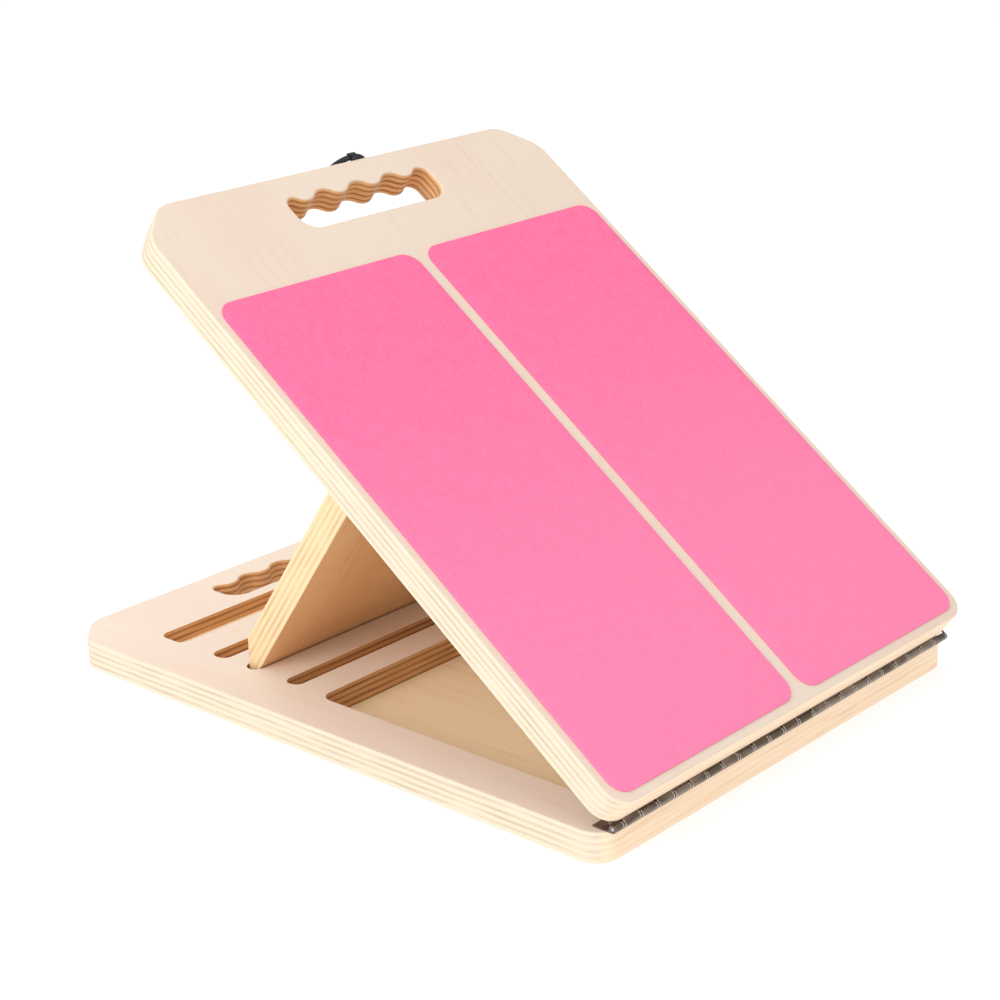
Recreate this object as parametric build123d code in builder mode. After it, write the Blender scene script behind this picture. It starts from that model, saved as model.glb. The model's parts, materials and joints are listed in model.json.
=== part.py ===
from build123d import *
from math import asin, cos, degrees, floor, radians, sin, sqrt, tan
import os

# A folding slant board: a plywood base and a plywood deck joined along the front edge by a piano hinge,
# and a prop panel hinged under the deck whose chisel foot stands in one of four slots in the base.
# Millimetres. +Z is up, +Y runs from the hinge to the rear, and X runs across the board. The origin is
# on the floor, in the middle of the base.

# ---- Driving dimensions -------------------------------------------------------------------------

# Plywood boards, one outline for the base and the deck
board_width = 330.0
board_length = 433.0
board_thickness = 18.0
front_corner_radius = 14.0
rear_corner_cut = 22.0
rear_corner_radius = 20.0
arris_radius = 1.0

# Deck angles that the four slots give, from the rear slot to the front one, and the one in use
slot_angles = (23.0, 32.2, 36.7, 41.3)
slot_widths = (21.0, 13.5, 12.0, 12.0)
slot_in_use = 2
slot_end_play = 4.5
slot_depth = 10.0
slot_end_radius = 5.9
foot_play_behind = 1.0

# Pocket in the base that takes the folded prop panel
pocket_side_play = 6.5
pocket_foot_play = 8.8
pocket_pivot_play = 1.4
pocket_floor = 2.9
pocket_corner_radius = 8.0

# Hand grip: a straight front edge, and ribs for the fingers along the rear edge
grip_width = 118.0
grip_rear_margin = 16.0
grip_opening = 26.0
grip_wave = 5.6
grip_finger_pitch = 28.0
grip_end_allowance = 6.0
grip_front_radius = 11.0
grip_arris_radius = 2.0

# Prop panel: its reach and its hinge's place are shares of the boards' length
prop_side_margin = 38.0
prop_thickness = 18.0
prop_reach_share = 0.4439
prop_pivot_share = 0.552
prop_gap_to_deck = 1.0
prop_end_gap = 0.4
prop_top_bevel = 30.0
prop_foot_bevel = 35.0
prop_foot_flat = 2.95
prop_foot_flat_tilt = 65.0
prop_arris_radius = 0.5

# Piano hinges: one barrel, a narrow leaf along the front and a wider one under the deck
barrel_diameter = 4.4
leaf_thickness = 1.0
main_leaf_width = 13.0
prop_leaf_width = 25.0
pin_diameter = 2.4
pin_clearance = 0.05
pin_end_chamfer = 0.3
knuckle_pitch = 14.0
knuckle_gap = 0.3
notch_clearance = 0.5
hinge_setback = 2.0
main_hinge_margin = 7.0
main_hinge_first_knuckle = 7.6
prop_hinge_margin = 8.0
leaf_rebate_play = 0.4

# Countersunk wood screws
screw_head_diameter = 6.0
screw_shank_diameter = 3.0
screw_length = 12.0
screw_clearance = 0.03
screw_point = 3.0
recess_width = 1.0
recess_span = 3.4
recess_depth = 1.0
main_screw_row = 8.4
prop_screw_row = 15.0
main_screw_count = 6
prop_screw_count = 5
screw_end_margin = 18.0

# Self-adhesive grip sheets on the deck
pad_margin = 5.5
pad_gap = 9.0
pad_rear_margin = 77.0
pad_thickness = 1.0
pad_corner_radius = 11.0

# Rubber closing ring, its hanger on the deck's rear edge, and the stud it hooks over on the base
ring_offset = 13.0
ring_outer_diameter = 41.0
ring_cord = 3.6
ring_rise = 1.3
hanger_thickness = 0.8
hanger_clearance = 0.2
hanger_tongue_width = 4.4
hanger_plate_width = 16.0
hanger_plate_height = 9.0
hanger_plate_drop = 4.6
hanger_plate_radius = 2.5
hanger_screw_spacing = 9.6
hanger_screw_head = 4.2
hanger_screw_shank = 2.2
hanger_screw_length = 9.0
stud_shank_diameter = 4.0
stud_head_diameter = 9.0
stud_head_thickness = 2.2
stud_neck_play = 0.8
stud_depth = 11.0
stud_slack = 1.0

# ---- Places worked out from them ----------------------------------------------------------------

barrel_radius = barrel_diameter / 2
pin_radius = pin_diameter / 2
axis_y = -board_length / 2 - hinge_setback
axis_z = board_thickness + barrel_radius
base_rear = hinge_setback + board_length
deck_angle = slot_angles[slot_in_use]

grip_crest = base_rear - grip_rear_margin
grip_front = grip_crest - grip_opening
prop_width = board_width - 2 * prop_side_margin
prop_reach = board_length * prop_reach_share
prop_pivot = board_length * prop_pivot_share
slot_length = prop_width + 2 * slot_end_play
pocket_width = prop_width + 2 * pocket_side_play
pocket_front = prop_pivot - prop_reach - pocket_foot_play
pocket_rear = prop_pivot - pocket_pivot_play
main_hinge_length = board_width - 2 * main_hinge_margin
prop_hinge_length = prop_width - 2 * prop_hinge_margin

rebate_depth = (barrel_diameter - prop_gap_to_deck) / 2
pivot_drop = prop_gap_to_deck / 2
pivot_rise = barrel_radius - pivot_drop
slot_floor = board_thickness - slot_depth
tip_radius = sqrt(prop_reach**2 + pivot_drop**2)


def pivot_height(angle):
    """Height of the prop hinge's axis above the slots' floor, with the deck at an angle."""
    return axis_z + prop_pivot * sin(radians(angle)) + pivot_rise * cos(radians(angle)) - slot_floor


def pivot_distance(angle):
    """Distance of the prop hinge's axis behind the main hinge's axis, with the deck at an angle."""
    return prop_pivot * cos(radians(angle)) - pivot_rise * sin(radians(angle))


def foot_distance(angle):
    """Distance of the foot's front edge behind the main hinge's axis, standing on a slot's floor."""
    return pivot_distance(angle) + sqrt(tip_radius**2 - pivot_height(angle) ** 2)


def prop_lean(angle):
    """Angle between the prop panel and the floor, with its foot on a slot's floor."""
    return degrees(asin(pivot_height(angle) / tip_radius) + asin(pivot_drop / tip_radius))


def slot_rear(angle):
    """Distance of a slot's rear wall behind the main hinge's axis, clear of the leaning foot."""
    leaning = radians(prop_lean(angle))
    flat_slope = radians(prop_foot_flat_tilt) - leaning
    flat_run = prop_foot_flat * cos(flat_slope)
    bevel_height = slot_depth - prop_foot_flat * sin(flat_slope)
    bevel_run = max(0.0, -bevel_height / tan(leaning + radians(prop_foot_bevel)))
    return foot_distance(angle) + flat_run + bevel_run + foot_play_behind


hinge_line = Vector(0, axis_y, axis_z)
deck_along = Vector(0, cos(radians(deck_angle)), sin(radians(deck_angle)))
deck_normal = Vector(0, -sin(radians(deck_angle)), cos(radians(deck_angle)))
base_plane = Plane(origin=(0, axis_y, 0), x_dir=(1, 0, 0), z_dir=(0, 0, 1))
deck_plane = Plane(origin=hinge_line + deck_normal * barrel_radius, x_dir=(1, 0, 0), z_dir=deck_normal)

pivot_line = hinge_line + deck_along * prop_pivot + deck_normal * pivot_rise
lean = radians(prop_lean(deck_angle))
prop_along = Vector(0, cos(lean), -sin(lean))
prop_normal = Vector(0, sin(lean), cos(lean))

ring_centre_radius = (ring_outer_diameter - ring_cord) / 2
ring_stand_off = hanger_thickness + hanger_clearance + ring_cord / 2
ring_pivot_height = board_thickness + ring_rise - ring_cord / 2
ring_pivot = deck_plane.from_local_coords((ring_offset, base_rear + ring_stand_off, ring_pivot_height))
ring_centre = ring_pivot - deck_normal * ring_centre_radius
folded_gap = barrel_diameter
folded_ring_foot = 2 * board_thickness + folded_gap + ring_rise - ring_outer_diameter
stud_height = folded_ring_foot + ring_cord + stud_shank_diameter / 2 + stud_slack
stud_neck = ring_stand_off + ring_cord / 2 + stud_neck_play

base_leaf_frame = Plane(origin=hinge_line, x_dir=(1, 0, 0), z_dir=(0, 0, 1))
deck_leaf_frame = Plane(origin=hinge_line, x_dir=(-1, 0, 0), z_dir=-deck_normal)
prop_deck_leaf_frame = Plane(origin=pivot_line, x_dir=(1, 0, 0), z_dir=-deck_normal)
prop_leaf_frame = Plane(origin=pivot_line, x_dir=(-1, 0, 0), z_dir=-prop_normal)

# ---- Boards -------------------------------------------------------------------------------------


def board_outline(plane):
    """A board's outline: rounded front corners, and rear corners cut at 45 degrees and rounded."""
    half = board_width / 2
    front = hinge_setback
    rear = hinge_setback + board_length
    with BuildSketch(plane) as outline:
        with BuildLine():
            FilletPolyline(
                (-half, front),
                (half, front),
                (half, rear - rear_corner_cut),
                (half - rear_corner_cut, rear),
                (-half + rear_corner_cut, rear),
                (-half, rear - rear_corner_cut),
                radius=[front_corner_radius] * 2 + [rear_corner_radius] * 4,
                close=True,
            )
        make_face()
    return outline.sketch


def grip_outline(plane):
    """The hand grip's outline: straight in front, rounded ends, and a wave of finger hollows behind.

    The wave is arcs of one radius, each rib and each hollow between two ribs ending halfway up, and
    the outer hollows run on as one arc each to the grip's straight ends.
    """
    half = grip_width / 2
    quarter = grip_finger_pitch / 4
    bulge = grip_wave / 2
    middle = grip_crest - bulge
    wave_radius = (quarter**2 + bulge**2) / (2 * bulge)
    ribs = floor((grip_width - grip_end_allowance) / grip_finger_pitch)
    wave_end = ribs * grip_finger_pitch / 2 - quarter
    end_radius = (half - wave_end) / (1 + quarter / wave_radius)
    end_start = middle - end_radius * (wave_radius - bulge) / wave_radius
    corner_front = grip_front + grip_front_radius
    corner_side = half - grip_front_radius
    with BuildSketch(plane) as outline:
        with BuildLine():
            RadiusArc((-half, end_start), (-wave_end, middle), end_radius)
            reach = -wave_end
            for rib in range(ribs):
                trough = reach + quarter
                ThreePointArc((reach, middle), (trough, middle - bulge), (trough + quarter, middle))
                reach = trough + quarter
                if rib < ribs - 1:
                    crest = reach + quarter
                    ThreePointArc((reach, middle), (crest, grip_crest), (crest + quarter, middle))
                    reach = crest + quarter
            RadiusArc((wave_end, middle), (half, end_start), end_radius)
            Line((half, end_start), (half, corner_front))
            RadiusArc((half, corner_front), (corner_side, grip_front), grip_front_radius)
            Line((corner_side, grip_front), (-corner_side, grip_front))
            RadiusArc((-corner_side, grip_front), (-half, corner_front), grip_front_radius)
            Line((-half, corner_front), (-half, end_start))
        make_face()
    return outline.sketch


def board_with_grip(plane):
    """A plywood board with its hand grip cut out, standing on its plane, with every arris eased."""
    across = Axis(plane.origin, plane.z_dir)
    with BuildPart() as board:
        add(board_outline(plane))
        extrude(amount=board_thickness, dir=plane.z_dir)
        faces = board.faces().sort_by(across)
        fillet(faces[0].edges() + faces[-1].edges(), arris_radius)
        add(grip_outline(plane))
        extrude(amount=board_thickness, dir=plane.z_dir, mode=Mode.SUBTRACT)
        faces = board.faces().sort_by(across)
        fillet(faces[0].inner_wires().edges() + faces[-1].inner_wires().edges(), grip_arris_radius)
    return board.part


# ---- Hinge pieces -------------------------------------------------------------------------------


def knuckle_spans(length, first, parity):
    """Start and end, from the hinge's left end, of every second knuckle along a cut length of hinge."""
    joints = [0.0]
    joint = first
    while joint < length - knuckle_gap:
        joints.append(joint)
        joint += knuckle_pitch
    joints.append(length)
    spans = list(zip(joints[:-1], joints[1:]))
    return spans[parity::2]


def screw_stations(length, count):
    """Evenly spaced screw places along a hinge, measured from its middle."""
    reach = length / 2 - screw_end_margin
    return [-reach + 2 * reach * i / (count - 1) for i in range(count)]


def leaf_seats(frame, length, row, count):
    """Planes at a leaf's screw heads: on the leaf's inner surface, facing out of the board."""
    height = leaf_thickness - barrel_radius
    places = [frame.from_local_coords((x, row, height)) for x in screw_stations(length, count)]
    return [Plane(origin=place, x_dir=frame.x_dir, z_dir=frame.z_dir) for place in places]


def hinge_leaf(frame, length, width, spans, seats):
    """One leaf with its own knuckles. The frame's x runs along the pin and y along the leaf."""
    notch = barrel_radius + notch_clearance
    left = -length / 2
    with BuildPart() as leaf:
        with BuildSketch(frame.offset(-barrel_radius)):
            with Locations((0, (notch + width) / 2)):
                Rectangle(length, width - notch)
        extrude(amount=leaf_thickness)
        for start, end in spans:
            gap_left = knuckle_gap / 2 if start > 0 else 0
            gap_right = knuckle_gap / 2 if end < length else 0
            origin = frame.from_local_coords((left + start + gap_left, 0, 0))
            with BuildSketch(Plane(origin=origin, x_dir=frame.y_dir, z_dir=frame.x_dir)):
                Circle(barrel_radius)
                with Locations((0, -barrel_radius)):
                    Rectangle(notch, leaf_thickness, align=(Align.MIN, Align.MIN))
            extrude(amount=end - start - gap_left - gap_right)
        bore_start = frame.from_local_coords((left, 0, 0))
        with BuildSketch(Plane(origin=bore_start, x_dir=frame.y_dir, z_dir=frame.x_dir)):
            Circle(pin_radius + pin_clearance)
        extrude(amount=length, mode=Mode.SUBTRACT)
        with Locations(*seats):
            CounterSinkHole(
                radius=screw_shank_diameter / 2 + screw_clearance,
                counter_sink_radius=screw_head_diameter / 2 + screw_clearance,
                depth=2 * leaf_thickness,
                counter_sink_angle=90,
            )
    return leaf.part


def hinge_pin(frame, length):
    """The pin, as long as the barrel and eased at its ends."""
    origin = frame.from_local_coords((-length / 2, 0, 0))
    with BuildPart() as pin:
        with BuildSketch(Plane(origin=origin, x_dir=frame.y_dir, z_dir=frame.x_dir)):
            Circle(pin_radius)
        extrude(amount=length)
        chamfer(pin.edges().filter_by(GeomType.CIRCLE), pin_end_chamfer)
    return pin.part


# ---- Screws -------------------------------------------------------------------------------------


def screw_profile(seat, head, shank, length, growth):
    """Half of a countersunk screw's section, from its axis outwards, thicker all round by a growth."""
    head_radius = head / 2 + growth
    shank_radius = shank / 2 + growth
    cone = head_radius - shank_radius
    side = Plane(origin=seat.origin, x_dir=seat.x_dir, z_dir=-seat.y_dir)
    with BuildSketch(side) as section:
        with BuildLine():
            Polyline(
                (0, 0),
                (head_radius, 0),
                (shank_radius, -cone),
                (shank_radius, screw_point - length),
                (0, -length - growth),
                close=True,
            )
        make_face()
    return section.sketch


def screw_cavities(seats, head, shank, length):
    """What the screws at some seats take out of the wood."""
    with BuildPart() as cavities:
        for seat in seats:
            add(screw_profile(seat, head, shank, length, screw_clearance))
            revolve(axis=Axis(seat.origin, seat.z_dir))
    return cavities.part


def wood_screws(seats, head, shank, length):
    """Countersunk cross-recess screws, one at each seat."""
    with BuildPart() as screws:
        for seat in seats:
            add(screw_profile(seat, head, shank, length, 0))
            revolve(axis=Axis(seat.origin, seat.z_dir))
        for seat in seats:
            with BuildSketch(seat):
                Rectangle(recess_span * head / screw_head_diameter, recess_width)
                Rectangle(recess_width, recess_span * head / screw_head_diameter)
            extrude(amount=-recess_depth, mode=Mode.SUBTRACT)
    return screws.part


# ---- Seats of all the screws --------------------------------------------------------------------

main_spans_base = knuckle_spans(main_hinge_length, main_hinge_first_knuckle, 0)
main_spans_deck_left = knuckle_spans(main_hinge_length, main_hinge_first_knuckle, 1)
main_spans_deck = [(main_hinge_length - b, main_hinge_length - a) for a, b in main_spans_deck_left]
prop_spans_deck = knuckle_spans(prop_hinge_length, knuckle_pitch, 0)
prop_spans_panel_left = knuckle_spans(prop_hinge_length, knuckle_pitch, 1)
prop_spans_panel = [(prop_hinge_length - b, prop_hinge_length - a) for a, b in prop_spans_panel_left]

main_row = (main_hinge_length, main_screw_row, main_screw_count)
prop_row = (prop_hinge_length, prop_screw_row, prop_screw_count)
main_leaf = (main_hinge_length, main_leaf_width)
prop_leaf = (prop_hinge_length, prop_leaf_width)
base_leaf_seats = leaf_seats(base_leaf_frame, *main_row)
deck_leaf_seats = leaf_seats(deck_leaf_frame, *main_row)
prop_deck_seats = leaf_seats(prop_deck_leaf_frame, *prop_row)
prop_panel_seats = leaf_seats(prop_leaf_frame, *prop_row)

hanger_face = base_rear + hanger_thickness
hanger_plate_middle = board_thickness - hanger_plate_drop - hanger_plate_height / 2
hanger_seats = [
    Plane(
        origin=deck_plane.from_local_coords((ring_offset + x, hanger_face, hanger_plate_middle)),
        x_dir=(1, 0, 0),
        z_dir=deck_along,
    )
    for x in (-hanger_screw_spacing / 2, hanger_screw_spacing / 2)
]
wood_screw = (screw_head_diameter, screw_shank_diameter, screw_length)
hanger_screw = (hanger_screw_head, hanger_screw_shank, hanger_screw_length)

# ---- Base board: pocket for the folded prop, four slots for its foot ----------------------------

with BuildPart() as base_board:
    add(board_with_grip(base_plane))
    top = base_plane.offset(board_thickness)
    pocket_length = pocket_rear - pocket_front
    with BuildSketch(top):
        with Locations((0, (pocket_front + pocket_rear) / 2)):
            RectangleRounded(pocket_width, pocket_length, pocket_corner_radius)
    extrude(amount=pocket_floor - board_thickness, mode=Mode.SUBTRACT)
    for angle, width in zip(slot_angles, slot_widths):
        with BuildSketch(top):
            with Locations((0, slot_rear(angle) - width / 2)):
                RectangleRounded(slot_length, width, slot_end_radius)
        extrude(amount=-slot_depth, mode=Mode.SUBTRACT)
    add(screw_cavities(base_leaf_seats, *wood_screw), mode=Mode.SUBTRACT)
    stud_seat = Plane(
        origin=base_plane.from_local_coords((ring_offset, base_rear, stud_height)),
        x_dir=(1, 0, 0),
        z_dir=(0, 1, 0),
    )
    with Locations(stud_seat):
        Hole(stud_shank_diameter / 2 + screw_clearance, depth=stud_depth)
base_board.part.label = "base_board"

# ---- Deck board: rebate and groove for the prop's hinge under it --------------------------------

with BuildPart() as deck_board:
    add(board_with_grip(deck_plane))
    rebate_front = prop_pivot - prop_leaf_width - leaf_rebate_play
    rebate_rear = prop_pivot + barrel_radius + leaf_rebate_play
    groove_half = barrel_radius + leaf_rebate_play
    with BuildSketch(deck_plane):
        with Locations((0, (rebate_front + rebate_rear) / 2)):
            Rectangle(prop_hinge_length + 2 * leaf_rebate_play, rebate_rear - rebate_front)
    extrude(amount=rebate_depth, dir=deck_normal, mode=Mode.SUBTRACT)
    with BuildSketch(deck_plane):
        with Locations((0, prop_pivot)):
            Rectangle(prop_hinge_length + 2 * leaf_rebate_play, 2 * groove_half)
    extrude(amount=rebate_depth + leaf_rebate_play, dir=deck_normal, mode=Mode.SUBTRACT)
    add(screw_cavities(deck_leaf_seats + prop_deck_seats, *wood_screw), mode=Mode.SUBTRACT)
    add(screw_cavities(hanger_seats, *hanger_screw), mode=Mode.SUBTRACT)
deck_board.part.label = "deck_board"

# ---- Prop panel: bevelled top, chisel foot, rebate for its hinge leaf ---------------------------

with BuildPart() as prop_panel:
    end = barrel_radius + prop_end_gap
    front = pivot_drop
    rear = pivot_drop + prop_thickness
    flat_end = (
        prop_reach + prop_foot_flat * cos(radians(prop_foot_flat_tilt)),
        front + prop_foot_flat * sin(radians(prop_foot_flat_tilt)),
    )
    side = Plane(origin=pivot_line - Vector(prop_width / 2, 0, 0), x_dir=prop_along, z_dir=(1, 0, 0))
    with BuildSketch(side):
        with BuildLine():
            Polyline(
                (end, front),
                (prop_reach, front),
                flat_end,
                (flat_end[0] - (rear - flat_end[1]) / tan(radians(prop_foot_bevel)), rear),
                (end + prop_thickness * tan(radians(prop_top_bevel)), rear),
                close=True,
            )
        make_face()
    extrude(amount=prop_width)
    sides = prop_panel.faces().sort_by(Axis.X)
    fillet(sides[0].edges() + sides[-1].edges(), prop_arris_radius)
    with BuildSketch(prop_leaf_frame.offset(-pivot_drop)):
        with Locations((0, (prop_leaf_width + leaf_rebate_play) / 2)):
            Rectangle(prop_hinge_length + 2 * leaf_rebate_play, prop_leaf_width + leaf_rebate_play)
    extrude(amount=-rebate_depth, mode=Mode.SUBTRACT)
    add(screw_cavities(prop_panel_seats, *wood_screw), mode=Mode.SUBTRACT)
prop_panel.part.label = "prop_panel"

# ---- Grip sheets stuck on the deck --------------------------------------------------------------

pad_width = (board_width - 2 * pad_margin - pad_gap) / 2
pad_length = board_length - pad_margin - pad_rear_margin
pad_middle = hinge_setback + pad_margin + pad_length / 2


def grip_pad(centre):
    """One rounded grip sheet on the deck, at a distance across it."""
    deck_top = deck_plane.offset(board_thickness)
    with BuildPart() as pad:
        with BuildSketch(deck_top):
            with Locations((centre, pad_middle)):
                RectangleRounded(pad_width, pad_length, pad_corner_radius)
        extrude(amount=pad_thickness)
    return pad.part


with BuildPart() as grip_pad_left:
    add(grip_pad(-(pad_gap + pad_width) / 2))
grip_pad_left.part.label = "grip_pad_left"

with BuildPart() as grip_pad_right:
    add(grip_pad((pad_gap + pad_width) / 2))
grip_pad_right.part.label = "grip_pad_right"

# ---- Main hinge along the front edge ------------------------------------------------------------

with BuildPart() as main_hinge_base_leaf:
    add(hinge_leaf(base_leaf_frame, *main_leaf, main_spans_base, base_leaf_seats))
main_hinge_base_leaf.part.label = "main_hinge_base_leaf"

with BuildPart() as main_hinge_deck_leaf:
    add(hinge_leaf(deck_leaf_frame, *main_leaf, main_spans_deck, deck_leaf_seats))
main_hinge_deck_leaf.part.label = "main_hinge_deck_leaf"

with BuildPart() as main_hinge_pin:
    add(hinge_pin(base_leaf_frame, main_hinge_length))
main_hinge_pin.part.label = "main_hinge_pin"

with BuildPart() as main_hinge_base_screws:
    add(wood_screws(base_leaf_seats, *wood_screw))
main_hinge_base_screws.part.label = "main_hinge_base_screws"

with BuildPart() as main_hinge_deck_screws:
    add(wood_screws(deck_leaf_seats, *wood_screw))
main_hinge_deck_screws.part.label = "main_hinge_deck_screws"

# ---- Prop hinge under the deck ------------------------------------------------------------------

with BuildPart() as prop_hinge_deck_leaf:
    add(hinge_leaf(prop_deck_leaf_frame, *prop_leaf, prop_spans_deck, prop_deck_seats))
prop_hinge_deck_leaf.part.label = "prop_hinge_deck_leaf"

with BuildPart() as prop_hinge_panel_leaf:
    add(hinge_leaf(prop_leaf_frame, *prop_leaf, prop_spans_panel, prop_panel_seats))
prop_hinge_panel_leaf.part.label = "prop_hinge_panel_leaf"

with BuildPart() as prop_hinge_pin:
    add(hinge_pin(prop_deck_leaf_frame, prop_hinge_length))
prop_hinge_pin.part.label = "prop_hinge_pin"

with BuildPart() as prop_hinge_deck_screws:
    add(wood_screws(prop_deck_seats, *wood_screw))
prop_hinge_deck_screws.part.label = "prop_hinge_deck_screws"

with BuildPart() as prop_hinge_panel_screws:
    add(wood_screws(prop_panel_seats, *wood_screw))
prop_hinge_panel_screws.part.label = "prop_hinge_panel_screws"

# ---- Closing ring, its hanger and the stud ------------------------------------------------------

with BuildPart() as closing_ring:
    with Locations(Plane(origin=ring_centre, x_dir=(1, 0, 0), z_dir=deck_along)):
        Torus(ring_centre_radius, ring_cord / 2)
closing_ring.part.label = "closing_ring"

with BuildPart() as ring_hanger:
    curl_inner = ring_cord / 2 + hanger_clearance
    tongue_foot = hanger_plate_middle - ring_pivot_height
    tongue_side = Plane(
        origin=ring_pivot - Vector(hanger_tongue_width / 2, 0, 0),
        x_dir=deck_along,
        z_dir=(1, 0, 0),
    )
    with BuildSketch(tongue_side):
        Circle(curl_inner + hanger_thickness)
        Circle(curl_inner, mode=Mode.SUBTRACT)
        with Locations((0, -ring_cord)):
            Rectangle(2 * ring_cord, 2 * ring_cord, mode=Mode.SUBTRACT)
        with Locations((-curl_inner - hanger_thickness, tongue_foot)):
            Rectangle(hanger_thickness, -tongue_foot, align=(Align.MIN, Align.MIN))
    extrude(amount=hanger_tongue_width)
    plate_plane = Plane(
        origin=deck_plane.from_local_coords((ring_offset, base_rear, hanger_plate_middle)),
        x_dir=(-1, 0, 0),
        z_dir=deck_along,
    )
    with BuildSketch(plate_plane):
        RectangleRounded(hanger_plate_width, hanger_plate_height, hanger_plate_radius)
    extrude(amount=hanger_thickness)
    with Locations(*hanger_seats):
        CounterSinkHole(
            radius=hanger_screw_shank / 2 + screw_clearance,
            counter_sink_radius=hanger_screw_head / 2 + screw_clearance,
            depth=2 * hanger_thickness,
            counter_sink_angle=90,
        )
ring_hanger.part.label = "ring_hanger"

with BuildPart() as ring_hanger_screws:
    add(wood_screws(hanger_seats, *hanger_screw))
ring_hanger_screws.part.label = "ring_hanger_screws"

with BuildPart() as closing_stud:
    shank = stud_shank_diameter / 2
    head = stud_head_diameter / 2
    rim = stud_head_thickness / 2
    dome = (head**2 + rim**2) / (2 * rim)
    with BuildSketch(Plane(origin=stud_seat.origin, x_dir=(1, 0, 0), z_dir=(0, 0, 1))):
        with BuildLine():
            Polyline(
                (0, stud_neck + 2 * rim),
                (0, -stud_depth),
                (shank, -stud_depth),
                (shank, stud_neck),
                (head, stud_neck),
                (head, stud_neck + rim),
            )
            RadiusArc((0, stud_neck + 2 * rim), (head, stud_neck + rim), dome)
        make_face()
    revolve(axis=Axis(stud_seat.origin, (0, 1, 0)))
closing_stud.part.label = "closing_stud"

# ---- Writing ------------------------------------------------------------------------------------

os.makedirs("parts", exist_ok=True)
pieces = (
    base_board,
    deck_board,
    prop_panel,
    grip_pad_left,
    grip_pad_right,
    main_hinge_base_leaf,
    main_hinge_deck_leaf,
    main_hinge_pin,
    main_hinge_base_screws,
    main_hinge_deck_screws,
    prop_hinge_deck_leaf,
    prop_hinge_panel_leaf,
    prop_hinge_pin,
    prop_hinge_deck_screws,
    prop_hinge_panel_screws,
    closing_ring,
    ring_hanger,
    ring_hanger_screws,
    closing_stud,
)
for piece in pieces:
    export_step(piece.part, f"parts/{piece.part.label}.step")

folded_lean = 180.0 - deck_angle - prop_lean(deck_angle)
print(f"deck angle {deck_angle:.2f}, prop opened {folded_lean:.2f} degrees from the deck")
print("main hinge line", hinge_line)
print("prop hinge line", pivot_line)
print("ring pivot", ring_pivot)
for angle, width in zip(slot_angles, slot_widths):
    print(f"slot for {angle} degrees: {slot_rear(angle) - width:.1f} to {slot_rear(angle):.1f}")
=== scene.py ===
# %% [markdown]
# # A folding slant board
#
# A slant board is a pair of plywood boards joined by a piano hinge. A prop panel under the upper
# board, the deck, stands in one of four slots in the lower board, the base, and so sets the slope
# that somebody stands on to stretch their calves. Two sheets of gritty plastic on the deck stop the
# shoes from slipping.
#
# The lesson loads the measured parts, sets up a camera and soft light, and then makes each finish:
# birch plywood with its striped edges, scorched router cuts, grit, tarnished hinge metal, steel and
# rubber. Last, it makes the two grip sheets again as fine surfaces.

# %% [markdown]
# ## Loading the parts
#
# The boards, hinges and screws come from a CAD model, and they stay exactly where they are.

import json
from math import cos, pi, radians, sin

import bpy
import numpy as np
from mathutils import Matrix, Vector


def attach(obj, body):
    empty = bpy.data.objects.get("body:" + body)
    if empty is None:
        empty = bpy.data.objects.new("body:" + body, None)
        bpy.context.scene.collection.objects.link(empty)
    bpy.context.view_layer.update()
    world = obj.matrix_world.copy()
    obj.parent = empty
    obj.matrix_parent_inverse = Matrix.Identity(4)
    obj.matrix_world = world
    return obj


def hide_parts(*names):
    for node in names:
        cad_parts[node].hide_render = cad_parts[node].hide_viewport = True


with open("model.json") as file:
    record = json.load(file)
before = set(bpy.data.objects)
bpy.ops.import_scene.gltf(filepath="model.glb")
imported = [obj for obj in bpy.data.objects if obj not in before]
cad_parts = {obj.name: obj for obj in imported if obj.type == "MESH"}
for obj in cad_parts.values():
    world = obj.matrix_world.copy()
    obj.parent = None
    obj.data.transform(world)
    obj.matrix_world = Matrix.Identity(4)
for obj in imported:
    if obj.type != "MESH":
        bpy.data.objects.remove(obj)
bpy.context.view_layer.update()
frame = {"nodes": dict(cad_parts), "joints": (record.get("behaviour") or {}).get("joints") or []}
joints = {joint["name"]: joint for joint in frame["joints"]}
print("parts:", len(frame["nodes"]), "joints:", sorted(joints))

# %% [markdown]
# ## Frames of the three boards
#
# Plywood has to be striped square to its own faces, so every board needs its own directions: across,
# along, and up through its thickness. The hinge lines are known from the joints. The deck leans back
# by its slope, and the prop panel points down at its own, steeper angle.

# %% Frames of the boards
BOARD_THICKNESS = 0.018
BARREL_RADIUS = 0.0022
PROP_FACE_OFFSET = 0.0005
HINGE_LINE = Vector(joints["deck_tilt"]["pos_m"])
PROP_LINE = Vector(joints["prop_swing"]["pos_m"])
DECK_SLOPE = radians(36.7)
PROP_SLOPE = -radians(54.61)


def up_from(slope):
    """The direction square to a board that rises towards the rear by a slope."""
    return Vector((0, -sin(slope), cos(slope)))


BOARD_FRAMES = {
    "base_board": (Vector((0, HINGE_LINE.y, 0)), 0.0),
    "deck_board": (HINGE_LINE + BARREL_RADIUS * up_from(DECK_SLOPE), DECK_SLOPE),
    "prop_panel": (PROP_LINE + PROP_FACE_OFFSET * up_from(PROP_SLOPE), PROP_SLOPE),
}
for board, (origin, slope) in BOARD_FRAMES.items():
    print(board, "starts at", [round(v, 4) for v in origin], "and rises by", round(slope / pi * 180, 2))

# %% [markdown]
# ## Camera
#
# The camera looks from the front left and a little above, as for a catalogue picture. A long lens
# keeps the boards' edges nearly parallel. A camera looks along its own -Z, so its matrix is made of
# three columns: right, up, and the opposite of the way it looks. The roll turns the first two.

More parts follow.
